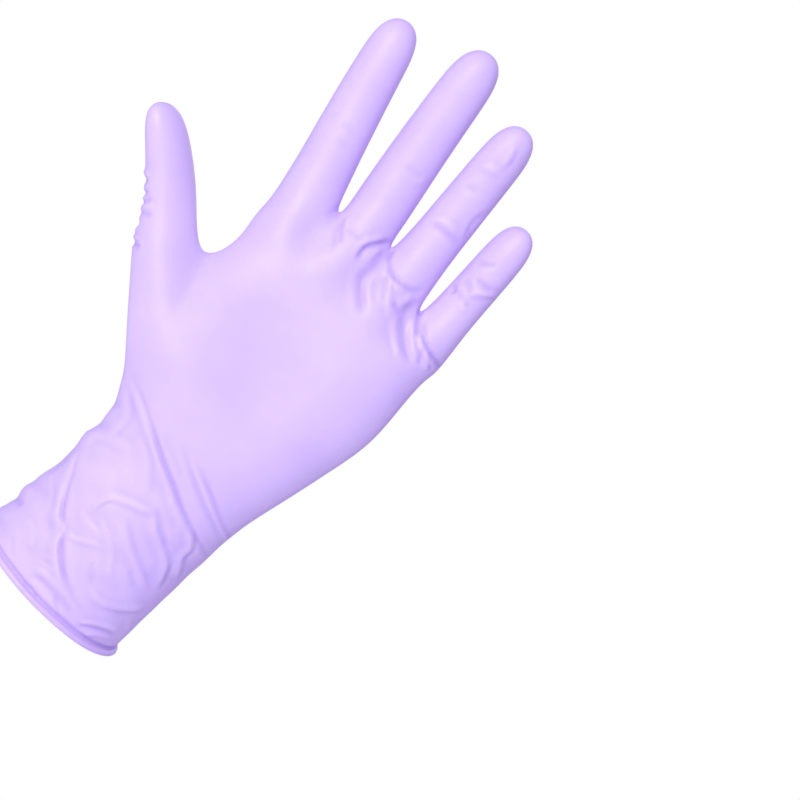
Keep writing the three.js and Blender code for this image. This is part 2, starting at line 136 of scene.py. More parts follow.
def section(left, right, y, depth, square=2, lean=0, sag=(0, 0), columns=digit_columns):
    """The closed loop of a tube's section: over the front to the right, then back over the rear.

    A point stands on the line between the section's two ends, moved off it by the half
    superellipse's height times the depth. Lean tips the section, and sag hangs its middle
    lower than its ends. The pairs are front and rear, except for y, which is left and right.
    """
    ends = np.array([[left[0], y[0], left[1]], [right[0], y[1], right[1]]])
    breadth = np.linalg.norm(ends[1] - ends[0])
    tip = math.radians(lean)
    runs = []
    for side, deep, drop in zip((-1, 1), depth, sag):
        share, height = half_run(breadth, deep, square, (columns + 2) * web)
        run = ends[0] + share[:, None] * (ends[1] - ends[0])
        run[:, 1] += side * deep * height * math.cos(tip)
        run[:, 2] += side * deep * height * math.sin(tip) - drop * height
        runs.append(run)
    return close_runs(*runs)


def close_runs(front, rear):
    """One closed loop from a front and a rear run that share their ends."""
    return np.concatenate((front, rear[-2:0:-1]))


def runs_of(loop):
    """The front and the rear half of a loop, each from the thumb side to the other."""
    half = len(loop) // 2
    return loop[: half + 1], np.concatenate((loop[:1], loop[: half - 1 : -1]))


def join_side_by_side(loops):
    """One loop round several that stand side by side, which meet halfway beside their web."""
    joined = []
    for runs in zip(*map(runs_of, loops)):
        run = runs[0]
        for beside in runs[1:]:
            seam = (run[-1 - web] + beside[web]) / 2
            run = np.concatenate((run[: -1 - web], [seam], beside[web + 1 :]))
        joined.append(run)
    return close_runs(*joined)


def web_between(left, right):
    """The line of a web from the front seam through the fork to the rear one, without the seams."""
    front, rear = [(a[-1 - web :] + b[web::-1]) / 2 for a, b in zip(runs_of(left), runs_of(right))]
    return np.concatenate((front[1:], rear[-2:0:-1]))


def rows_through(keys, counts, before, after):
    """Rows on Catmull and Rom's smooth curve through the same point of each key loop."""
    line = np.array([before, *keys, after])
    rows = [line[1:2]]
    for k, count in enumerate(counts):
        t = (np.arange(1, count + 1) / count)[:, None, None]
        a, b, c, d = line[k : k + 4]
        bend = 2 * a - 5 * b + 4 * c - d + t * (3 * b - a - 3 * c + d)
        rows.append(b + t / 2 * (c - a + t * bend))
    return np.concatenate(rows)


def cuff_section(up, lean, slant, plump):
    """A section of the cuff at a share of the way up it."""
    half = plump * np.interp(up, (0, 1), (cuff["breadth"], wrist["breadth"])) / 2
    deep = plump * np.interp(up, (0, 1), (cuff["depth"], wrist["depth"])) / 2
    turn = math.radians(cuff["slant"] * slant)
    middle = np.array([up * wrist["drift"], up * cuff["length"]])
    reach = half * np.array([math.cos(turn), -math.sin(turn)])
    y = wrist_y * (1 - (1 - up) ** fall_bend)
    return section(
        middle - reach,
        middle + reach,
        (y, y),
        (deep, deep),
        lean=cuff["lean"] * lean,
        columns=trunk_columns,
    )


def palm_section(thumb_edge, little_edge, depth, forward, square, columns):
    """A section of the heel or the palm, its edges as shares of the palm's breadth and length."""
    return section(
        in_palm(*thumb_edge),
        in_palm(*little_edge),
        (palm_y - thumb_rise * forward, palm_y),
        palm["depth"] * np.array(depth),
        square,
        columns=columns,
    )


def digit_section(digit, base, distance):
    """A digit's section at a distance along it.

    Breadth and depth taper towards the tip, and a quarter superellipse closes the last part. The
    base's own breadth, tilt and rounding fade out up the digit.
    """
    along = distance / digit["length"]
    inset = max(0, 1 - (digit["length"] - distance) / (cap_length * digit["tip_breadth"]))
    close = (1 - inset**cap_square) ** (1 / cap_square)
    lean = math.radians(digit["lean"])
    axis = np.array([math.sin(lean), math.cos(lean)])
    side = np.array([axis[1], -axis[0]])
    span = base["right"] - base["left"]
    tilt = span @ axis / 2 * max(0, 1 - along / tilt_reach) ** 2
    rooted = max(0, 1 - along / root_reach) ** 2
    fork = max(0, 1 - along / fork_reach) ** 2
    tapered = np.interp(along**taper_bend, (0, 1), (digit["breadth"], digit["tip_breadth"]))
    breadth = tapered + rooted * (np.linalg.norm(span) - tapered)
    deep = np.interp(along, (0, 1), (digit["depth"], digit["tip_depth"])) / 2
    middle = (base["left"] + base["right"]) / 2 + axis * distance
    middle = middle + side * digit["bow"] * math.sin(math.pi * along)
    reach = side * close * breadth / 2 + axis * tilt
    base_y = np.array(base["y"])
    turn = digit["turn"] * np.array([-1, 1])
    y = base_y.mean() - digit["curl"] * along**curl_bend
    return section(
        middle - reach,
        middle + reach,
        y + fork * (base_y - base_y.mean()) + (1 - fork) * turn,
        close * (deep + fork * (np.array(base["depth"]) - deep)),
        digit["square"] + fork * (2 - digit["square"]),
        sag=fork * np.array(base["sag"]),
    )


def digit_rows(digit, base):
    """A digit's rows above its base, and the point of its tip."""
    cap = cap_length * digit["tip_breadth"]
    free = digit["length"] - cap
    straight = np.linspace(0, free, round(free / row_step) + 1)[1:]
    round_over = free + cap * np.sin(np.linspace(0, math.pi / 2, cap_rows + 2)[1:-1])
    rows = [digit_section(digit, base, distance) for distance in (*straight, *round_over)]
    tip = digit_section(digit, base, digit["length"]).mean(axis=0)
    return np.array(rows), tip


# The bases where the tubes part: the thumb's, the palm's, and the four fingers' between forks.
# Depth and sag are shares of the digit's depth, and the palm root's depth is one of the palm's.
thumb_root = dict(fork_forward=0.4, depth=0.62)
finger_root = dict(depth=0.53, sag_front=0.2, sag_back=0.35)
palm_root = dict(little_edge=(0.49, 0.46), depth_front=0.52, depth_back=0.5)
fork_shares = [(-0.507, 0.905), (-0.222, 0.95), (0.034, 0.979), (0.286, 0.862), (0.523, 0.807)]
thumb_fork = in_palm(-0.541, 0.556)
thumb_fork_y = palm_y - thumb_root["fork_forward"] * thumb_rise
thumb_base = dict(
    left=in_palm(-0.831, 0.489),
    right=thumb_fork,
    y=(palm_y - thumb_rise, thumb_fork_y),
    depth=(thumb_root["depth"] * digits["thumb"]["depth"],) * 2,
    sag=(0, 0),
)
forks = [in_palm(*at) for at in fork_shares]
finger_bases = [
    dict(
        left=left,
        right=right,
        y=(palm_y, palm_y),
        depth=(finger_root["depth"] * finger["depth"],) * 2,
        sag=(finger_root["sag_front"] * finger["depth"], finger_root["sag_back"] * finger["depth"]),
    )
    for finger, left, right in zip(fingers, forks, forks[1:])
]
thumb_base_loop = section(**thumb_base)
finger_base_loops = [section(**base) for base in finger_bases]
palm_start = section(
    thumb_fork,
    in_palm(*palm_root["little_edge"]),
    (thumb_fork_y, palm_y),
    (palm_root["depth_front"] * palm["depth"], palm_root["depth_back"] * palm["depth"]),
    palm["square"],
    columns=palm_columns,
)

# The trunk, from the cuff's mouth to the root of the thumb.
trunk_keys = [
    cuff_section(up=0.03, lean=1, slant=1, plump=1),
    cuff_section(up=0.2, lean=0.94, slant=0.75, plump=0.99),
    cuff_section(up=0.5, lean=0.78, slant=0.5, plump=0.985),
    cuff_section(up=0.77, lean=0.55, slant=0.3, plump=0.99),
    cuff_section(up=1, lean=0.33, slant=0.3, plump=1),
    palm_section((-0.513, 0.177), (0.347, 0.158), (0.71, 0.66), 0.35, heel_square, trunk_columns),
    palm_section((-0.664, 0.338), (0.41, 0.306), (0.62, 0.58), 0.75, heel_square, trunk_columns),
    join_side_by_side([thumb_base_loop, palm_start]),
]
palm_keys = [
    palm_section((-0.492, 0.7), (0.496, 0.607), (0.49, 0.48), 0.1, palm["square"], palm_columns),
    palm_section((-0.506, 0.81), (0.5, 0.72), (0.48, 0.47), 0, palm["square"], palm_columns),
    join_side_by_side(finger_base_loops),
]
# The last rows before a parting already aim at the digits beyond it, this far above their roots.
thumb_aim = 0.35 * digits["thumb"]["length"]
finger_aim = 12
above_thumb_root = digit_section(digits["thumb"], thumb_base, thumb_aim)
trunk_rows = rows_through(
    trunk_keys,
    counts=(17, 22, 20, 18, 24, 12, 13),
    before=2 * trunk_keys[0] - trunk_keys[1],
    after=join_side_by_side([above_thumb_root, palm_keys[0]]),
)

points = []
quads = []
fans = []
inner_quads = []
inner_fans = []
inner_columns = 4  # the inner face has a ring of points to this many of the outer one's columns
inner_rows = 4


def place(loops):
    """Adds points to the film and returns their numbers, in the same grid."""
    start = sum(map(len, points))
    points.append(loops.reshape(-1, 3))
    return start + np.arange(len(points[-1])).reshape(loops.shape[:-1])


def between_rings(rings):
    """Four-sided faces between each ring of points and the next."""
    beside = np.roll(rings, -1, axis=1)
    return np.stack((rings[:-1], beside[:-1], beside[1:], rings[1:]), axis=-1).reshape(-1, 4)


def skin(rings):
    """The faces of a tube, and the larger ones of its inner face."""
    quads.append(between_rings(rings))
    thinned = np.concatenate((rings[:-1:inner_rows], rings[-1:]))[:, ::inner_columns]
    inner_quads.append(between_rings(thinned)[:, ::-1])


def part(ring, columns, webs):
    """The rings that a ring parts into, each from its own columns and the webs on its two sides."""
    runs = runs_of(ring)
    seams = web * np.cumsum([1, *columns])
    edges = [[run[web::-1] for run in runs]]
    for seam, line in zip(seams[1:], webs):
        edges.append([np.append(run[seam], way[:web]) for run, way in zip(runs, (line, line[::-1]))])
    edges.append([run[-1 - web :] for run in runs])
    return [
        close_runs(*[
            np.concatenate((left[::-1], run[a + 1 : b], right))
            for left, run, right in zip(edges[k], runs, edges[k + 1])
        ])
        for k, (a, b) in enumerate(zip(seams, seams[1:]))
    ]


def fan(ring, end):
    """Three-sided faces from a ring of points to one in its middle."""
    return np.stack((ring, np.roll(ring, -1), np.full(len(ring), end)), axis=-1)


def close_digit(root_ring, digit, base):
    """Skins a digit from its root to its tip, where a fan closes it."""
    rows, tip = digit_rows(digit, base)
    rings = place(rows)
    skin(np.concatenate(([root_ring], rings)))
    end = place(tip[None])[0]
    fans.append(fan(rings[-1], end))
    inner_fans.append(fan(rings[-1, ::inner_columns], end)[:, ::-1])


trunk_rings = place(trunk_rows)
skin(trunk_rings)
mouth = trunk_rings[0]
thumb_web = place(web_between(thumb_base_loop, palm_start))
thumb_and_palm = (digit_columns, palm_columns)
thumb_ring, palm_ring = part(trunk_rings[-1], thumb_and_palm, [thumb_web])
close_digit(thumb_ring, digits["thumb"], thumb_base)

# Below its first row the palm goes on as the heel does, except at the web, where it starts.
film_points = np.concatenate(points)
palm_first = film_points[palm_ring]
no_web = np.zeros(2 * web - 1, int)
heel_below = part(np.arange(len(trunk_keys[-2])), thumb_and_palm, [no_web])[1]
run_on = np.clip((np.arange((palm_columns + 2) * web + 1) / web - 1) / 2, 0, 1)
run_on = close_runs(run_on, run_on)[:, None]
start_only = 2 * palm_first - palm_keys[0]
palm_rows = rows_through(
    [palm_first, *palm_keys],
    counts=(11, 16, 20),
    before=start_only + run_on * (trunk_keys[-2][heel_below] - start_only),
    after=join_side_by_side(
        [digit_section(*finger, finger_aim) for finger in zip(fingers, finger_bases)]
    ),
)
palm_rings = place(palm_rows[1:])
skin(np.concatenate(([palm_ring], palm_rings)))
finger_webs = [place(web_between(*pair)) for pair in zip(finger_base_loops, finger_base_loops[1:])]
finger_rings = part(palm_rings[-1], (digit_columns,) * 4, finger_webs)
for ring, finger, base in zip(finger_rings, fingers, finger_bases):
    close_digit(ring, finger, base)

film_points = np.concatenate(points)
outer_quads = np.concatenate(quads)
outer_fans = np.concatenate(fans)
outer_count = len(film_points)

# A stretched film rounds off what it bridges, most of all at the forks between the digits.
rounding = dict(rounds=150, share=0.8, everywhere=0.4, at_forks=0.4, fork_radius=9)
sides = np.concatenate([outer_quads[:, [k, (k + 1) % 4]] for k in range(4)])
sides = np.concatenate((sides, outer_fans[:, 1:], outer_fans[:, ::2]))
sides = np.unique(np.sort(sides, axis=1), axis=0)
neighbours = np.bincount(sides.ravel(), minlength=outer_count)


def middle_of_neighbours(values):
    """The mean of each point's neighbours."""
    total = [
        np.bincount(sides[:, 0], values[sides[:, 1], k], outer_count)
        + np.bincount(sides[:, 1], values[sides[:, 0], k], outer_count)
        for k in range(values.shape[1])
    ]
    return np.stack(total, axis=1) / neighbours[:, None]


def round_off(film, rounds, share):
    """Moves each point part of the way to the middle of its neighbours, round after round."""
    for _ in range(rounds):
        film = film + share * (middle_of_neighbours(film) - film)
    return film


fork_places = film_points[[line[web - 1] for line in (thumb_web, *finger_webs)]]
fork_distance = np.linalg.norm(film_points[:, None] - fork_places, axis=2).min(axis=1)
near_fork = np.exp(-((fork_distance / rounding["fork_radius"]) ** 2))
share = rounding["share"] * (rounding["everywhere"] + rounding["at_forks"] * near_fork)
share[mouth] = 0
film_points = round_off(film_points, rounding["rounds"], share[:, None])


def outward(film):
    """The direction square to the film at each point, as the sum of its faces' normals."""
    total = np.zeros_like(film)
    for face in (outer_quads[:, :3], outer_quads[:, [0, 2, 3]], outer_fans):
        corner = film[face]
        normal = np.cross(corner[:, 1] - corner[:, 0], corner[:, 2] - corner[:, 0])
        for k in range(3):
            for axis in range(3):
                total[:, axis] += np.bincount(face[:, k], normal[:, axis], outer_count)
    return total / np.linalg.norm(total, axis=1, keepdims=True)


palm_side = np.array([0, -1, 0])
back_side = np.array([0, 1, 0])
thumb_side = np.array([-1, 0, 0])


def facing(normals, side, full=0.6):
    """How much the film faces a side, from 0 at the glove's edge to 1."""
    share = np.clip(normals @ side / full, 0, 1)
    return share**2 * (3 - 2 * share)


# The mounds of the palm and the knuckles, as bell-shaped rises: at and spread are shares of the
# palm's breadth and length, and rise is a share of its depth.
mounds = [
    dict(side=palm_side, at=(-0.46, 0.4), spread=(0.29, 0.32), rise=0.17),
    dict(side=palm_side, at=(0.3, 0.3), spread=(0.2, 0.34), rise=0.125),
    dict(side=palm_side, at=(-0.02, 0.55), spread=(0.24, 0.26), rise=-0.01),
    dict(side=palm_side, at=(-0.37, 0.83), spread=(0.11, 0.1), rise=0.06),
    dict(side=palm_side, at=(-0.1, 0.88), spread=(0.11, 0.1), rise=0.06),
    dict(side=palm_side, at=(0.17, 0.85), spread=(0.1, 0.1), rise=0.06),
    dict(side=palm_side, at=(0.4, 0.74), spread=(0.1, 0.12), rise=0.05),
    dict(side=back_side, at=(-0.36, 0.8), spread=(0.09, 0.1), rise=0.085),
    dict(side=back_side, at=(-0.1, 0.84), spread=(0.09, 0.1), rise=0.09),
    dict(side=back_side, at=(0.16, 0.78), spread=(0.09, 0.1), rise=0.08),
    dict(side=back_side, at=(0.38, 0.68), spread=(0.08, 0.1), rise=0.07),
]
normals = outward(film_points)
height = np.zeros(outer_count)
for mound in mounds:
    spread = np.array(mound["spread"]) * (palm["breadth"], palm["length"])
    away = (film_points[:, [0, 2]] - in_palm(*mound["at"])) / spread
    bell = np.exp(-(away**2).sum(axis=1))
    height += mound["rise"] * palm["depth"] * facing(normals, mound["side"]) * bell
film_points = film_points + height[:, None] * normals

# The folds of the film, each along a path of (x, z) places. Width is from its crest to where it
# has sunk to a third, and rise is its height, which is below zero for a groove. Steep, from 0 to
# 1, is how far it leans over towards the little finger's side.
wrist_folds = [
    dict(width=1.15, rise=0.76, steep=0.7,
         path=[(-24.5, 76), (-17, 72.9), (-13.5, 71.1), (-8.6, 68.2), (-2.3, 64.3), (5.4, 59.4), (10, 56.7),
               (14.3, 54.3), (20.4, 50.6), (26.5, 47.5), (31, 45.6)]),
    dict(width=0.8, rise=-0.54, steep=0,
         path=[(-10, 70.5), (-2.8, 66.3), (2.1, 63.2), (7, 60.4), (11.8, 58), (16.5, 55), (20.8, 52.5),
               (25.4, 49.9), (29.7, 47.7), (33.1, 46.3), (37, 44.6), (44, 41.6)]),
    dict(width=0.94, rise=0.61, steep=0.2,
         path=[(10, 68.2), (15.4, 65.7), (19.1, 64), (23.4, 61.6), (27.7, 59.2), (32, 56.8), (36.6, 54.4),
               (45, 50.4)]),
    dict(width=0.75, rise=-0.43, steep=0,
         path=[(4.7, 70.6), (11.9, 66.4), (16.7, 63.3), (20.7, 60.6), (25, 58.2), (28.5, 56.4), (33.5, 54),
               (40, 51)]),
    dict(width=0.7, rise=-0.43, steep=0,
         path=[(17, 67), (19.4, 65.5), (25.1, 62.4), (29.8, 59.2), (34, 56.6), (39.5, 53.8), (46, 51)]),
    dict(width=1, rise=-0.22, steep=0, path=[(-1.2, 68.7), (5, 65.5), (9, 63.5), (15, 60)]),
    dict(width=1.6, rise=0.43, steep=0.4,
         path=[(-21, 73), (-19.3, 69.9), (-15.2, 65.6), (-14.9, 60), (-15.3, 54.9)]),
    dict(width=1.5, rise=0.4, steep=0.5, path=[(-22.5, 51.4), (-15.6, 55), (-10, 56.4), (-5, 56.8)]),
    dict(width=1.7, rise=0.36, steep=0.7, path=[(-7.7, 62.6), (-2.1, 59.4), (2, 56), (6.2, 51), (9.6, 46.6)]),
    dict(width=0.94, rise=0.32, steep=0.6, path=[(13.5, 54), (18, 50.4), (22.4, 47.8), (26, 45)]),
]
cuff_folds = [
    dict(width=1.25, rise=0.83, steep=0.8,
         path=[(-22, 47.5), (-18.6, 38.5), (-15.3, 31.2), (-11.4, 23.9), (-7.4, 21.3), (-5.4, 16.4),
               (-2.8, 12.6), (1.6, 9), (5.6, 6.9), (10.5, 5), (15, 3.6)]),
    dict(width=0.85, rise=-0.54, steep=0,
         path=[(-20.5, 41), (-17, 35), (-10.2, 24.6), (-7.8, 20.8), (-2, 15.2), (2.3, 10.4), (5.8, 7.4),
               (11.5, 4.9), (15.5, 3.7), (19.5, 2.6)]),
    dict(width=0.77, rise=0.43, steep=0.8,
         path=[(-6.4, 22), (-2.4, 21.4), (1.5, 22.6), (5.6, 24.6), (9, 25.2)]),
    dict(width=0.7, rise=-0.25, steep=0, path=[(-6.6, 8.6), (-4, 9.4), (-0.6, 9.8)]),
    dict(width=1, rise=0.29, steep=0.4, path=[(-7, 31.3), (-2.8, 28.6), (2.5, 27.8), (6, 26.2)]),
    dict(width=1, rise=0.32, steep=0.5,
         path=[(-1.2, 33.4), (4.3, 30.3), (10.6, 26.3), (14, 21.5), (17.5, 17)]),
    dict(width=1, rise=0.47, steep=0.9,
         path=[(-3.2, 31.6), (-2.6, 36.8), (0.3, 40.6), (5.4, 42.6), (10.9, 44.2), (14.6, 45.6)]),
    dict(width=1.3, rise=0.58, steep=0.8,
         path=[(5.6, 37.4), (11.3, 33.8), (15.6, 30.5), (20, 27.7), (25.3, 24.5), (29.5, 21.6)]),
    dict(width=1.2, rise=0.65, steep=0.7,
         path=[(13.2, 44.6), (17.1, 41.6), (20.1, 39.2), (24.8, 36.4), (27.5, 34.2), (28.6, 31.5),
               (29.7, 27.6), (29.9, 24)]),
    dict(width=0.94, rise=-0.4, steep=0, path=[(12.5, 47.5), (17.1, 44.7), (20.7, 41.8), (25, 38.4)]),
    dict(width=1.1, rise=0.58, steep=0.5,
         path=[(25.5, 48.6), (28.8, 46.4), (30.6, 43), (30.2, 39.4), (32.2, 34.6), (32.6, 30.4)]),
    dict(width=1, rise=0.58, steep=0.9,
         path=[(12.6, 12.6), (16.2, 11), (19.7, 10.4), (23.3, 11.2), (26.7, 12.9), (29.8, 15.4), (32, 18)]),
    dict(width=0.94, rise=-0.25, steep=0, path=[(7.6, 19.8), (8.8, 17.6), (10.8, 15.2), (12.8, 12.8)]),
    dict(width=0.9, rise=-0.25, steep=0, path=[(19, 26.2), (21.6, 23.2), (25, 20.6)]),
    dict(width=0.8, rise=-0.5, steep=0,
         path=[(16.4, -2.4), (20, 0.2), (23.6, 1.7), (26.9, 2.8), (30.6, 2.9)]),
    dict(width=0.77, rise=0.4, steep=0, path=[(17, -0.6), (20, 2), (25.4, 4.3), (30, 5.2)]),
    dict(width=0.8, rise=0.36, steep=0.3, path=[(20.5, -3), (24.7, 0), (29.4, 0.8)]),
    dict(width=1.3, rise=-0.4, steep=0,
         path=[(-6.6, 2.4), (-3, 3.2), (0.8, 2.9), (5, 2.3), (10, 1.6), (15, 0.6)]),
    dict(width=1, rise=0.36, steep=0, path=[(-6.6, 4.6), (-1.4, 5.4), (3.4, 4.9), (8.4, 3.6)]),
    dict(width=0.7, rise=-0.32, steep=0, path=[(4.8, 2.6), (8.3, -0.3), (11.6, -3.2)]),
    dict(width=0.6, rise=-0.29, steep=0, path=[(-7.6, -1.7), (-4, -1.2), (-0.8, -0.3)]),
    dict(width=0.55, rise=-0.29, steep=0, path=[(-4, -2.6), (-1.4, -2.2), (1.2, -2.2)]),
    dict(width=1, rise=0.29, steep=0.7, path=[(-24, 33), (-18.5, 28.4), (-15, 22)]),
    dict(width=1.2, rise=0.25, steep=0.6, path=[(-21, 16), (-15.6, 14.4), (-11.6, 9)]),
    dict(width=0.85, rise=-0.25, steep=0, path=[(-19.6, 8.6), (-17, 5), (-14.4, 3)]),
    dict(width=1, rise=0.29, steep=0, path=[(29.4, 11), (31.6, 6.6), (31.2, 2)]),
]
web_folds = [
    dict(width=0.75, rise=-0.6, steep=0,
         path=[(-2.2, 164.8), (-1.3, 163), (0, 161.4), (0.9, 159.2), (2.9, 156), (4.4, 153.4)]),
    dict(width=0.75, rise=-0.8, steep=0, path=[(-0.6, 165.6), (1.6, 161.5), (3.5, 158.6), (5.1, 156.2)]),
    dict(width=0.75, rise=0.4, steep=0, path=[(0.9, 164.8), (2.9, 161.8), (4.8, 159)]),
    dict(width=1.2, rise=-0.4, steep=0, path=[(-2.8, 167), (-3.9, 164), (-4.4, 160.6)]),
    dict(width=1, rise=-0.35, steep=0, path=[(-1.8, 165), (-2.5, 162), (-1.6, 158.4)]),
    dict(width=0.8, rise=-0.45, steep=0, path=[(4.6, 164.2), (6.8, 162.9), (8.9, 162.6), (10.9, 162.8)]),
    dict(width=0.8, rise=-0.3, steep=0, path=[(2.4, 162.5), (5.1, 162.1), (7, 161.2)]),
    dict(width=0.9, rise=-0.95, steep=0,
         path=[(19, 169), (17.6, 168), (15.2, 165), (13, 162.3), (12.5, 160.2), (12.7, 158), (12.9, 155)]),
    dict(width=1, rise=0.55, steep=0.3, path=[(15.1, 168.2), (13.2, 164.9), (11.5, 162.5), (10.9, 160)]),
    dict(width=1.2, rise=0.4, steep=0.5, path=[(16.6, 164.4), (15.9, 160.6), (15.4, 156.8)]),
    dict(width=1.5, rise=-0.75, steep=0,
         path=[(19.4, 168), (19, 163.6), (19, 160.2), (18.8, 157), (18.1, 153.7), (18.5, 151.2),
               (21, 147.9), (24, 144.8), (27, 141.4)]),
    dict(width=1.3, rise=0.35, steep=0, path=[(21.2, 158.5), (20.8, 154), (22.6, 149.8), (26.2, 146)]),
    dict(width=0.75, rise=-0.8, steep=0, path=[(20, 167), (20.4, 164.2), (21.3, 161.6)]),
    dict(width=0.8, rise=-0.35, steep=0, path=[(23.1, 159.3), (25, 156.5), (27, 153.8), (30, 150.6)]),
    dict(width=0.9, rise=0.4, steep=0.3, path=[(24.1, 159.6), (26.9, 155.9), (30.4, 151.6), (35, 146.6)]),
    dict(width=0.75, rise=-0.85, steep=0,
         path=[(20.8, 165.4), (22.3, 162), (23.6, 160.3), (25.4, 159.5), (27.9, 159.3), (30.7, 159.2),
               (33.2, 159.6), (35.4, 160.8), (37.6, 163.4)]),
    dict(width=0.8, rise=0.45, steep=0,
         path=[(21.6, 162), (23, 159.4), (25.3, 158.2), (28.1, 158), (30.9, 157.9), (33.8, 158.4)]),
    dict(width=1.6, rise=-0.75, steep=0,
         path=[(39.4, 159.4), (37.4, 155), (37.1, 152), (39, 148.8), (43.4, 144.2), (47.2, 141.3),
               (51, 139.4)]),
    dict(width=0.85, rise=-0.55, steep=0, path=[(31.6, 152.8), (33.9, 151.6), (36.4, 150.6)]),
    dict(width=1, rise=0.45, steep=0, path=[(31.8, 153.8), (34, 154.6), (35, 156.6), (35.4, 158)]),
    dict(width=1.1, rise=0.4, steep=0, path=[(34.6, 148.6), (37.5, 145.4), (41, 142.2), (45.4, 139.2)]),
    dict(width=0.9, rise=0.4, steep=0.4, path=[(40.2, 152.4), (43, 148.4), (46.3, 144.9), (49.8, 142)]),
    dict(width=0.75, rise=-1.05, steep=0,
         path=[(40.2, 158), (41.3, 154.3), (42.7, 151.9), (44, 150.2), (46.2, 148.6)]),
    dict(width=0.75, rise=-0.8, steep=0,
         path=[(42, 155.6), (44.3, 152.6), (47.2, 150), (49.7, 148.2), (53.1, 146.7), (57, 145.6),
               (61, 145)]),
    dict(width=0.75, rise=0.5, steep=0,
         path=[(44.1, 151), (47, 148.2), (50.2, 146.3), (53.5, 145), (58, 144)]),
    dict(width=0.8, rise=-0.4, steep=0, path=[(49.3, 146), (50.8, 143.7), (51.6, 141)]),
    dict(width=0.9, rise=0.5, steep=0.4, path=[(50.6, 146.4), (53, 144.2), (55.4, 141)]),
]
finger_folds = [
    dict(width=0.9, rise=-0.63, steep=0, path=[(23.9, 181.3), (29.6, 181.9), (34.3, 182.3), (37.2, 181.9)]),
    dict(width=0.9, rise=0.52, steep=0.5, path=[(23.8, 183.8), (28.9, 184.8), (33.9, 184.5)]),
    dict(width=0.85, rise=-0.32, steep=0, path=[(37.5, 196.8), (35.9, 193), (36, 188.7), (37.1, 184.1)]),
    dict(width=1, rise=0.42, steep=0.5, path=[(25.2, 207.7), (29.1, 208.3), (32.5, 209.3)]),
    dict(width=1.2, rise=0.42, steep=0.5, path=[(30.5, 219.6), (31.5, 215.8), (31.5, 211.1)]),
    dict(width=1.4, rise=-0.32, steep=0, path=[(25.7, 198.3), (30.5, 199.6)]),
    dict(width=0.9, rise=-0.52, steep=0, path=[(45.1, 181.7), (48, 182.3), (51.3, 184)]),
    dict(width=0.9, rise=-0.63, steep=0, path=[(47.5, 176.6), (50.9, 176.1), (54.8, 176.5), (58.3, 178.5)]),
    dict(width=1, rise=0.73, steep=0.5, path=[(49.3, 170.6), (53.9, 173.9), (58.2, 178)]),
    dict(width=0.8, rise=-0.73, steep=0, path=[(43.4, 170.5), (44.7, 169.5), (45.2, 167.3)]),
    dict(width=0.9, rise=-0.52, steep=0, path=[(44.7, 169.5), (49.7, 167.5), (53.4, 167.1)]),
    dict(width=0.9, rise=0.42, steep=0.5, path=[(48.4, 168.1), (53.2, 165.3)]),
    dict(width=1, rise=-0.42, steep=0, path=[(45.7, 174.5), (50.1, 171.2)]),
    dict(width=1, rise=-0.28, steep=0, path=[(5.6, 191), (9.7, 191.7), (12.8, 192.1)]),
    dict(width=1, rise=0.32, steep=0.5, path=[(11.1, 189), (14.3, 191.2)]),
    dict(width=1, rise=-0.21, steep=0, path=[(-21.2, 188.3), (-17, 188.5), (-14.8, 188.7)]),
    dict(width=1, rise=-0.21, steep=0, path=[(-18.4, 183.4), (-14, 183.8)]),
]
thumb_folds = [
    dict(width=0.8, rise=-0.9, steep=0, path=[(-59.6, 126.6), (-57.7, 128), (-56.4, 129)]),
    dict(width=0.8, rise=-0.6, steep=0, path=[(-57.6, 123.9), (-55.9, 125.4), (-54.4, 128.2)]),
    dict(width=0.9, rise=0.5, steep=0, path=[(-57.6, 122.6), (-54.4, 124.6), (-51.6, 126)]),
    dict(width=0.9, rise=-0.5, steep=0, path=[(-55, 121.6), (-52.8, 122.6), (-50.6, 123.4)]),
    dict(width=0.8, rise=-0.8, steep=0, path=[(-52.6, 112.4), (-49.6, 112.6), (-47, 112.6)]),
    dict(width=0.8, rise=0.5, steep=0, path=[(-52.4, 114.4), (-48.8, 114.2), (-46, 113.9)]),
    dict(width=0.9, rise=-0.7, steep=0, path=[(-63.8, 131.8), (-61, 131.6), (-59, 131.8)]),
    dict(width=0.9, rise=0.5, steep=0, path=[(-64, 133.6), (-61.4, 133.4), (-59.6, 133.6)]),
    dict(width=1, rise=-0.6, steep=0, path=[(-57.4, 118.6), (-54.4, 118.2), (-52.4, 118.6)]),
    dict(width=0.9, rise=0.5, steep=0, path=[(-56.6, 116.6), (-53.6, 116.4), (-51.4, 116.6)]),
]
# Down the thumb's side of the cuff the slack film bulges between the folds.
edge_folds = [
    dict(width=3, rise=-0.5, steep=0, path=[(-31, 67.4), (-24, 66), (-18, 64.4)]),
    dict(width=3.2, rise=0.9, steep=0, path=[(-31, 53), (-24, 51.6), (-17, 50.2)]),
    dict(width=7, rise=-1, steep=0, path=[(-35, 39.6), (-28, 38.4), (-21, 37.2)]),
    dict(width=2, rise=0.6, steep=0, path=[(-36, 24), (-29, 23.2), (-22, 22.6)]),
    dict(width=1.6, rise=-0.7, steep=0, path=[(-37, 18.6), (-30, 18), (-23, 17.6)]),
    dict(width=1.8, rise=0.5, steep=0, path=[(-37, 12.4), (-30, 11.8), (-23, 11.4)]),
]
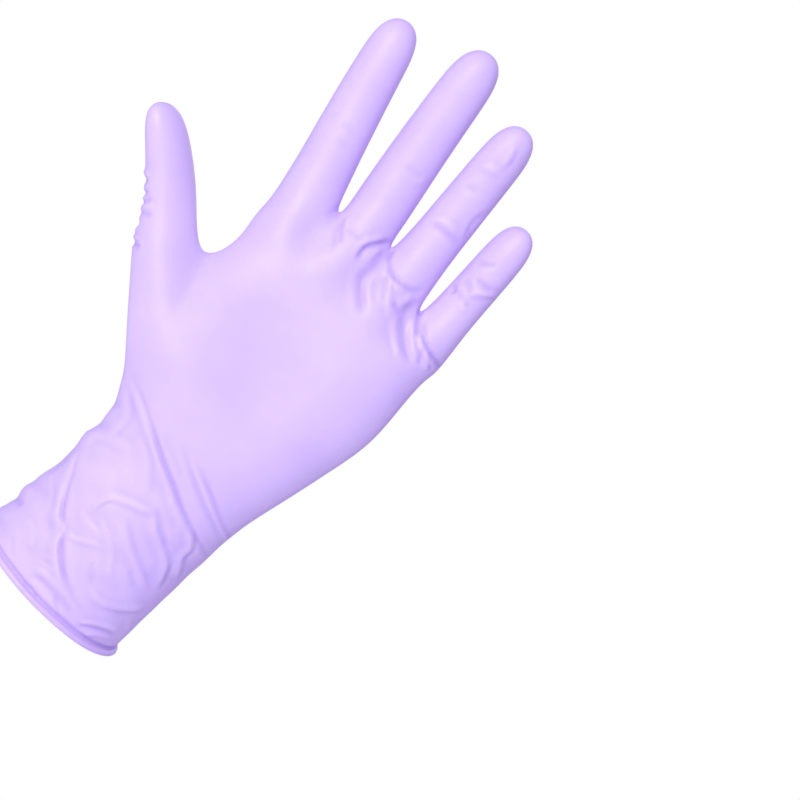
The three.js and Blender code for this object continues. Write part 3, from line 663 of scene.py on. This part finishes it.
# On the back the film is slack at the wrist and over the knuckles and the joints.
back_folds = [
    dict(width=2.6, rise=1.1, steep=0, path=[(-17, 67), (8, 65), (33, 61)]),
    dict(width=2.4, rise=-0.9, steep=0, path=[(-8, 58.5), (16, 54), (38, 52)]),
    dict(width=2, rise=0.8, steep=0, path=[(-12, 76), (6, 74), (20, 72)]),
    dict(width=2.8, rise=1.1, steep=0, path=[(-17, 12), (-10, 29), (0, 47)]),
    dict(width=2.8, rise=-1, steep=0, path=[(2, 7), (8, 23), (19, 41)]),
    dict(width=2.4, rise=1, steep=0, path=[(20, 9), (25, 25), (27, 42)]),
    dict(width=1.8, rise=0.6, steep=0, path=[(-22, 30), (-8, 38), (4, 41)]),
    dict(width=1.8, rise=0.6, steep=0, path=[(8, 20), (18, 24), (30, 22)]),
]


def smooth_path(path, steps=8):
    """Points on Catmull and Rom's curve through a path's places."""
    places = np.array(path, float)[:, None, :]
    first = 2 * places[0] - places[1]
    last = 2 * places[-1] - places[-2]
    return rows_through(list(places), [steps] * (len(places) - 1), first, last)[:, 0]


def fold_height(fold, film, end_fade=0.2):
    """A fold's height over the film: a sharp bell across it, with a shallow dip at its foot.

    Where it faces the little finger's side it is narrower, and the dip is deeper, the more steep
    it is. Along the path it stays level and fades out near both ends.
    """
    path = smooth_path(fold["path"])
    reach = 5 * fold["width"]
    flat = film[:, [0, 2]]
    inside = (flat > path.min(axis=0) - reach) & (flat < path.max(axis=0) + reach)
    near = np.flatnonzero(inside.all(axis=1))
    step = np.diff(path, axis=0)
    length = np.linalg.norm(step, axis=1)
    offset = flat[near, None] - path[:-1]
    along = np.clip((offset * step).sum(axis=2) / length**2, 0, 1)
    away = offset - along[..., None] * step
    distance = np.linalg.norm(away, axis=2)
    closest = distance.argmin(axis=1)
    rows = np.arange(len(near))
    travelled = (np.cumsum(length) - length)[closest] + along[rows, closest] * length[closest]
    end = np.clip(np.minimum(travelled, length.sum() - travelled) / (end_fade * length.sum()), 0, 1)
    distance = distance[rows, closest]
    turned = fold["steep"] * np.clip(1.6 * away[rows, closest, 0] / (distance + 0.01), -1, 1)
    across = distance / fold["width"] / (1 - 0.5 * turned)
    dip = (0.25 + 0.25 * turned) * np.exp(-(((across - 1.9) / 0.75) ** 2))
    height = np.zeros(len(film))
    height[near] = fold["rise"] * (np.exp(-(across**1.6)) - dip) * end**2 * (3 - 2 * end)
    return height


# Between its folds the slack film of the cuff is softly uneven: waves that cross one another, each
# with its own direction in degrees, length and phase.
slack = dict(rise=0.06, from_z=64, full_z=46)
slack_waves = [(18, 17, 0.4), (74, 13, 2.1), (131, 11, 4), (160, 19, 1.2), (49, 8.5, 5.1), (104, 9.5, 3)]


def slack_height(film):
    """The sum of the waves over the cuff, which fades out up the wrist."""
    total = sum(
        np.sin(math.tau * (film[:, 0] * math.cos(turn) + film[:, 2] * math.sin(turn)) / length + phase)
        for turn, length, phase in ((math.radians(turn), *rest) for turn, *rest in slack_waves)
    )
    slackness = np.clip((slack["from_z"] - film[:, 2]) / (slack["from_z"] - slack["full_z"]), 0, 1)
    return slack["rise"] * slackness * total


# The bead pinches the film in just above it.
pinch = dict(rise=-1, above=1.45, width=0.62)
smooth_film = film_points
normals = outward(smooth_film)
relief = slack_height(smooth_film)
from_mouth = np.linalg.norm(smooth_film[trunk_rings] - smooth_film[mouth], axis=2)
relief[trunk_rings] += pinch["rise"] * np.exp(-(((from_mouth - pinch["above"]) / pinch["width"]) ** 2))
for side, folds in (
    (palm_side, wrist_folds + cuff_folds + web_folds + finger_folds),
    (thumb_side, thumb_folds + edge_folds),
    (back_side, back_folds),
):
    turned = facing(normals, side, 0.4)
    for fold in folds:
        relief += turned * fold_height(fold, smooth_film)
film_points = smooth_film + relief[:, None] * normals
film_points = round_off(film_points, 1, 0.3 * (share > 0)[:, None])

# The inner face follows the film before its folds. At the mouth larger faces, each as wide as a
# column of the inner face, join it to the outer one.
normals = outward(film_points)
kept = np.unique(np.concatenate([faces.ravel() for faces in inner_quads + inner_fans]))
inner_points = (smooth_film - inner_depth * outward(smooth_film))[kept]
inner_number = np.zeros(outer_count, int)
inner_number[kept] = outer_count + np.arange(len(kept))
mouth_outer = mouth.reshape(-1, inner_columns)
mouth_next = np.roll(mouth_outer[:, 0], -1)
mouth_strip = np.column_stack(
    (mouth_next, mouth_outer[:, ::-1], inner_number[mouth_outer[:, 0]], inner_number[mouth_next])
)
film_faces = [outer_quads, outer_fans, mouth_strip]
film_faces += [inner_number[faces] for faces in inner_quads + inner_fans]


def new_piece(name, piece_points, faces, material):
    """A smooth-shaded mesh from points in millimetres, which rides on the glove's body."""
    mesh = bpy.data.meshes.new(name)
    mesh.from_pydata((piece_points * MILLIMETRE).tolist(), [], faces)
    mesh.polygons.foreach_set("use_smooth", np.ones(len(mesh.polygons), bool))
    mesh.materials.append(material)
    mesh.update()
    piece = bpy.data.objects.new(name, mesh)
    bpy.context.scene.collection.objects.link(piece)
    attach(piece, "root")
    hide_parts("glove")
    return piece


def node(tree, kind, links=(), **settings):
    """Adds a shader node. Settings are its own values, and links are (input, value or socket)."""
    made = tree.nodes.new(kind)
    for name, value in settings.items():
        setattr(made, name, value)
    for name, value in links:
        if isinstance(value, bpy.types.NodeSocket):
            tree.links.new(value, made.inputs[name])
        else:
            made.inputs[name].default_value = value
    return made


def nitrile(name, deep, pale):
    """Satin nitrile, paler on its smooth parts, with painted shade in its creases and a painted highlight on
    their crests, a cloudy mottle, a fine grain and a soft uneven gloss.
    """
    material = bpy.data.materials.new(name)
    material.use_nodes = True
    tree = material.node_tree
    tree.nodes.clear()
    place_on = node(tree, "ShaderNodeTexCoord").outputs["Object"]
    # The attribute gives the film's tone, with painted shade in creases and a painted highlight on crests.
    crease_shade_and_tone = node(tree, "ShaderNodeAttribute", attribute_name="crease_shade_and_tone").outputs["Fac"]
    clouds = node(tree, "ShaderNodeTexNoise", [("Vector", place_on), ("Scale", 42), ("Detail", 3)])
    cloudy = node(tree, "ShaderNodeMapRange", [
        ("Value", clouds.outputs["Fac"]), ("From Min", 0.3), ("From Max", 0.7),
        ("To Min", -0.06), ("To Max", 0.06)])
    # The random mottle is added to the tone that carries the painted crease shade.
    mottle_and_crease_shade = node(tree, "ShaderNodeMath", [
        (0, crease_shade_and_tone), (1, cloudy.outputs["Result"])], operation="ADD", use_clamp=True)
    colour = node(tree, "ShaderNodeMix", [
        ("Factor", mottle_and_crease_shade.outputs[0]), (6, (*deep, 1)), (7, (*pale, 1))], data_type="RGBA")
    gloss = node(tree, "ShaderNodeTexNoise", [("Vector", place_on), ("Scale", 130), ("Detail", 2)])
    rough = node(tree, "ShaderNodeMapRange", [
        ("Value", gloss.outputs["Fac"]), ("From Min", 0.3), ("From Max", 0.7),
        ("To Min", 0.4), ("To Max", 0.5)])
    grain = node(tree, "ShaderNodeTexNoise", [("Vector", place_on), ("Scale", 2600), ("Detail", 2)])
    grain_bump = node(tree, "ShaderNodeBump", [
        ("Height", grain.outputs["Fac"]), ("Strength", 0.25), ("Distance", 0.00006)])
    ripple = node(tree, "ShaderNodeTexNoise", [
        ("Vector", place_on), ("Scale", 260), ("Detail", 4), ("Distortion", 0.6)])
    bump = node(tree, "ShaderNodeBump", [
        ("Height", ripple.outputs["Fac"]), ("Strength", 0.35), ("Distance", 0.00025),
        ("Normal", grain_bump.outputs["Normal"])])
    film = node(tree, "ShaderNodeBsdfPrincipled", [
        ("Base Color", colour.outputs[2]), ("Roughness", rough.outputs["Result"]),
        ("Normal", bump.outputs["Normal"]), ("IOR", 1.5), ("Specular IOR Level", 0.45),
        ("Subsurface Weight", 0.2), ("Subsurface Radius", (1, 0.7, 1.3)), ("Subsurface Scale", 0.0015)])
    output = node(tree, "ShaderNodeOutputMaterial")
    tree.links.new(film.outputs["BSDF"], output.inputs["Surface"])
    return material


# The deep lilac is the colour that painted crease shade darkens the film towards. A small share of it is in
# the film's own tone.
deep_lilac = (0.36, 0.22, 0.74)
drawn_tight = 0.86  # how pale the smooth film is, from 0 to 1
film_lilac = nitrile("lilac_nitrile", deep=deep_lilac, pale=(0.785, 0.65, 0.96))
film = new_piece(
    "glove_film",
    np.concatenate((film_points, inner_points)),
    [face for block in film_faces for face in block.tolist()],
    film_lilac,
)

# Where the film is smooth, its colour is its own pale tone. In its creases, which are where it lies lower
# than the film about 2 mm round it, the colour is darkened as painted shade. Where it stands higher it is
# made paler as a painted highlight.
crease = relief - round_off(relief[:, None], 24, 0.5)[:, 0]
tone_with_crease_shade = drawn_tight + 0.72 * np.minimum(crease, 0) + 0.15 * np.maximum(crease, 0)
tone_with_crease_shade = np.clip(round_off(tone_with_crease_shade[:, None], 2, 0.5)[:, 0], 0, 1)
# The attribute holds the film's tone, with the painted crease shade and crest highlight.
crease_shade_and_tone = film.data.attributes.new("crease_shade_and_tone", "FLOAT", "POINT")
crease_shade_and_tone.data.foreach_set("value", np.concatenate((tone_with_crease_shade, tone_with_crease_shade[kept])).astype(np.float32))

# The rolled bead.
# At the mouth of the cuff the wet film is rolled down the former on itself, which leaves a round
# bead several layers thick. It keeps the thin edge from tearing.
bead = dict(radius=1.15, columns=16, outset=0.3, below=0.45)
mouth_turn = np.roll(film_points[mouth], -1, axis=0) - np.roll(film_points[mouth], 1, axis=0)
mouth_turn /= np.linalg.norm(mouth_turn, axis=1, keepdims=True)
mouth_lean = math.radians(cuff["lean"])
mouth_axis = np.array([0, math.sin(mouth_lean), -math.cos(mouth_lean)])
mouth_out = np.cross(mouth_axis, mouth_turn)
mouth_out /= np.linalg.norm(mouth_out, axis=1, keepdims=True)
mouth_out *= np.sign((mouth_out * normals[mouth]).sum(axis=1))[:, None]
round_bead = np.linspace(0, 2 * math.pi, bead["columns"], endpoint=False)[:, None, None]
bead_points = (
    film_points[mouth]
    + bead["outset"] * mouth_out
    + bead["below"] * mouth_axis
    + bead["radius"] * (np.cos(round_bead) * mouth_out + np.sin(round_bead) * mouth_axis)
)
bead_numbers = np.arange(bead_points[..., 0].size).reshape(bead_points.shape[:2])
bead_rings = np.concatenate((bead_numbers, bead_numbers[:1]))
bead_beside = np.roll(bead_rings, -1, axis=1)
bead_faces = np.stack((bead_rings[:-1], bead_rings[1:], bead_beside[1:], bead_beside[:-1]), axis=-1)
bead_lilac = nitrile("lilac_bead", deep=deep_lilac, pale=(0.78, 0.64, 0.96))
rolled_bead = new_piece(
    "rolled_bead", bead_points.reshape(-1, 3), bead_faces.reshape(-1, 4).tolist(), bead_lilac
)
bead_drawn = rolled_bead.data.attributes.new("crease_shade_and_tone", "FLOAT", "POINT")
bead_drawn.data.foreach_set("value", np.full(bead_numbers.size, drawn_tight, np.float32))

# The studio.
# A pale floor below the glove, a bright surround, a large soft light from the upper left, a weak
# violet fill, and a camera square to the palm, turned so that the glove leans as in the picture.
floor_depth = 0.25
floor_half = 0.75
floor_z = cad_box[0][2] - floor_depth
floor_mesh = bpy.data.meshes.new("floor")
floor_mesh.from_pydata(
    [(-floor_half, -floor_half, floor_z), (floor_half, -floor_half, floor_z),
     (floor_half, floor_half, floor_z), (-floor_half, floor_half, floor_z)],
    [],
    [(0, 1, 2, 3)],
)
floor = bpy.data.objects.new("floor", floor_mesh)
bpy.context.scene.collection.objects.link(floor)
floor_white = bpy.data.materials.new("floor_white")
floor_white.use_nodes = True
floor_shader = floor_white.node_tree.nodes["Principled BSDF"]
floor_shader.inputs["Base Color"].default_value = (0.85, 0.85, 0.85, 1)
floor_shader.inputs["Roughness"].default_value = 0.8
floor_shader.inputs["Emission Color"].default_value = (1, 1, 1, 1)
floor_shader.inputs["Emission Strength"].default_value = 0.1
floor_mesh.materials.append(floor_white)

surround = bpy.data.worlds.new("surround")
bpy.context.scene.world = surround
surround.use_nodes = True
sky = surround.node_tree
sky.nodes.clear()
seen = node(sky, "ShaderNodeLightPath").outputs["Is Camera Ray"]
light_sky = node(sky, "ShaderNodeBackground", [("Color", (0.84, 0.73, 1.2, 1)), ("Strength", 0.55)])
white_sky = node(sky, "ShaderNodeBackground", [("Color", (1, 1, 1, 1)), ("Strength", 1)])
both = node(sky, "ShaderNodeMixShader", [(0, seen), (1, light_sky.outputs[0]), (2, white_sky.outputs[0])])
sky_out = node(sky, "ShaderNodeOutputWorld")
sky.links.new(both.outputs[0], sky_out.inputs["Surface"])

aim = Vector((0.0544, -0.017, 0.1279))


def soft_light(name, place_at, power, size, colour):
    """A square soft light that looks at the glove."""
    lamp = bpy.data.lights.new(name, "AREA")
    lamp.energy = power
    lamp.size = size
    lamp.color = colour
    made = bpy.data.objects.new(name, lamp)
    bpy.context.scene.collection.objects.link(made)
    made.location = place_at
    made.rotation_euler = (aim - made.location).to_track_quat("-Z", "Y").to_euler()


soft_light("key_light", (-0.6, -1.6, 0.5), 19.4, 0.9, (0.98, 0.98, 1))
soft_light("fill_light", (1.2, -1.0, -0.1), 0.8, 1.2, (0.8, 0.65, 1))
soft_light("back_light", (0.3, 1.4, 0.9), 3, 1.0, (1, 0.98, 1))

picture_width = 0.2744
camera_distance = 1.2
camera_roll = 39
lens = bpy.data.cameras.new("camera")
lens.sensor_width = 36
lens.lens = lens.sensor_width * camera_distance / picture_width
camera = bpy.data.objects.new("camera", lens)
bpy.context.scene.collection.objects.link(camera)
camera.location = aim + Vector((0, -camera_distance, 0))
level = Vector((0, 1, 0)).to_track_quat("-Z", "Y").to_matrix()
camera.rotation_euler = (level @ Matrix.Rotation(math.radians(camera_roll), 3, "Z")).to_euler()
bpy.context.scene.camera = camera
bpy.context.scene.view_settings.view_transform = "Standard"
